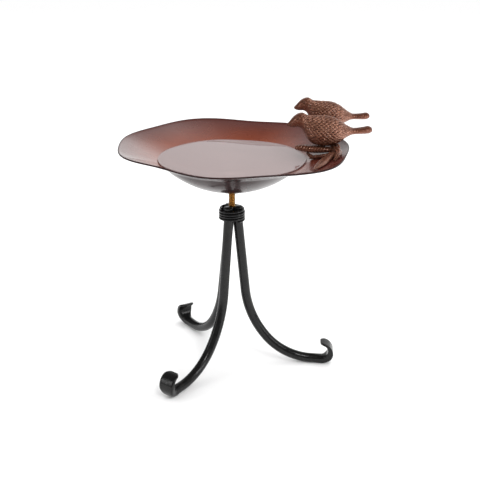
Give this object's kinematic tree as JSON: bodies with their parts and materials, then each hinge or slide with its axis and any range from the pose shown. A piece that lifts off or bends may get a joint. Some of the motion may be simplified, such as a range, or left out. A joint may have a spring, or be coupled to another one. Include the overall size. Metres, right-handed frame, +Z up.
{
  "type": "bird bath",
  "caption": "Table-top bird bath: a wavy-rimmed shallow dish with cast birds on a leafy perch, screwed by a rod onto a tripod of curled iron bars.",
  "frame": {"origin": "on the ground, on the axis of the threaded rod", "axes": "+Z up along the rod, +X to the side with the perch and the birds, +Y to the back"},
  "size_m": [0.3492, 0.3333, 0.389],
  "materials": {
    "black_iron": "satin black paint on forged bar",
    "brass_rod": "cut thread, lightly tarnished",
    "dish_copper": "polished antique copper plate, lacquered",
    "flange_dark": "dark oxidised",
    "cast_copper": "antiqued casting, dark in the hollows, rubbed bright on the high spots"
  },
  "bodies": {
    "stand": {"leg_right": "black_iron", "leg_back_left": "black_iron", "leg_front_left": "black_iron", "binding_wire": "black_iron"},
    "rod": {"threaded_rod": "brass_rod"},
    "dish": {"dish_flange": "flange_dark", "dish": "dish_copper", "perch_stem": "cast_copper", "perch_prop": "cast_copper", "ribbed_leaf": "cast_copper", "pointed_leaf": "cast_copper", "forked_twig": "cast_copper", "tendril": "cast_copper", "bird_front": "cast_copper", "bird_front_legs": "cast_copper", "bird_back": "cast_copper", "bird_back_legs": "cast_copper"}
  },
  "joints": [
    {"name": "rod_lift", "type": "slide", "parent": "stand", "child": "rod", "axis": [0, 0, 1], "range_m": [0, 0.0159]},
    {"name": "dish_turn", "type": "hinge", "parent": "rod", "child": "dish", "pos_m": [0, 0, 0.2687], "axis": [0, 0, 1], "range_deg": [0, 3600]}
  ],
  "couplings": [
    {"joint": "rod_lift", "follows": "dish_turn", "m_per_rad": 0.00025266}
  ]
}
